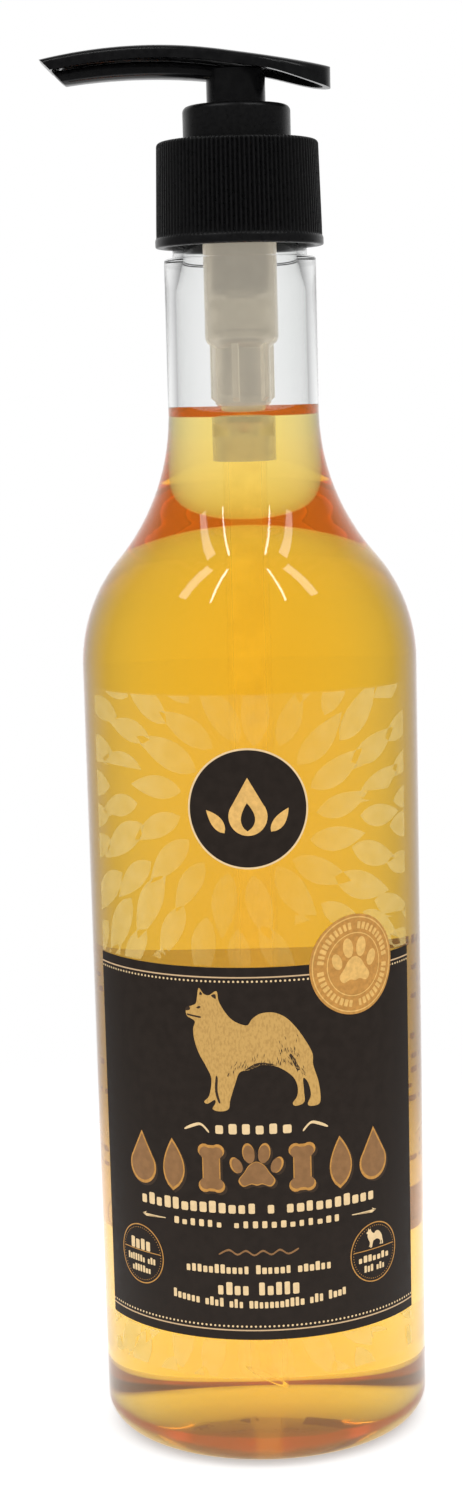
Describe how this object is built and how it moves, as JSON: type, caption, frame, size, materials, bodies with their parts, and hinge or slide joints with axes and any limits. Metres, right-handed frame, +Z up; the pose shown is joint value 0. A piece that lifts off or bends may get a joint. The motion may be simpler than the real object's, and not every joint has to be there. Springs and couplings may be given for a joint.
{
  "type": "shampoo bottle",
  "caption": "Clear round pump bottle of amber pet shampoo with a label, ribbed screw closure and black lock-down lotion pump with swivelling spout.",
  "frame": {"origin": "centre of the flat ring the bottle stands on, on the bottle's axis", "axes": "+Z up along the bottle's axis, the spout points to -X, the front label faces -Y"},
  "size_m": [0.068, 0.0642, 0.2646],
  "materials": {
    "bottle": "clear stretch-blown polyester, glossy",
    "shampoo": "clear amber liquid",
    "front_label": "clear film label printed dark brown, cream and gold",
    "back_label": "film label printed in tan",
    "closure": "black moulded plastic, fine ribs, semi-gloss",
    "gasket": "soft white foam-faced ring",
    "housing": "translucent natural plastic, satin",
    "dip_tube": "translucent natural plastic tube, satin",
    "chaplet": "black moulded plastic, semi-gloss",
    "actuator_shell": "black moulded plastic, glossy",
    "actuator_core": "black moulded plastic, glossy",
    "stem": "natural plastic",
    "stem_plug": "natural plastic",
    "piston": "white soft plastic",
    "spring": "stainless steel wire",
    "ball": "polished stainless steel",
    "ball_cage": "natural plastic"
  },
  "bodies": {
    "container": {"bottle": "bottle", "shampoo": "shampoo", "front_label": "front_label", "back_label": "back_label"},
    "pump": {"housing": "housing", "gasket": "gasket", "dip_tube": "dip_tube", "chaplet": "chaplet", "ball_cage": "ball_cage", "spring": "spring"},
    "screw_closure": {"closure": "closure"},
    "plunger": {"stem": "stem", "stem_plug": "stem_plug"},
    "head": {"actuator_shell": "actuator_shell", "actuator_core": "actuator_core"},
    "piston_ring": {"piston": "piston"},
    "check_ball": {"ball": "ball"}
  },
  "joints": [
    {"name": "pump_rise", "type": "slide", "parent": "container", "child": "pump", "axis": [0, 0, 1], "range_m": [0, 0.00635]},
    {"name": "closure_turn", "type": "hinge", "parent": "pump", "child": "screw_closure", "pos_m": [0, 0, 0.238], "axis": [0, 0, 1], "range_deg": [0, 540]},
    {"name": "pump_stroke", "type": "slide", "parent": "pump", "child": "plunger", "axis": [0, 0, 1], "range_m": [0, 0.0145], "stiffness_N_per_m": 300, "springref_m": 0.024, "deforming": ["spring"]},
    {"name": "spout_turn", "type": "hinge", "parent": "plunger", "child": "head", "pos_m": [0, 0, 0.256], "axis": [0, 0, 1], "continuous": true},
    {"name": "piston_slip", "type": "slide", "parent": "plunger", "child": "piston_ring", "axis": [0, 0, 1], "range_m": [0, 0.0012]},
    {"name": "ball_lift", "type": "slide", "parent": "pump", "child": "check_ball", "axis": [0, 0, 1], "range_m": [0, 0.0013]}
  ],
  "couplings": [
    {"joint": "closure_turn", "follows": "pump_rise", "rad_per_m": 1484.2}
  ]
}
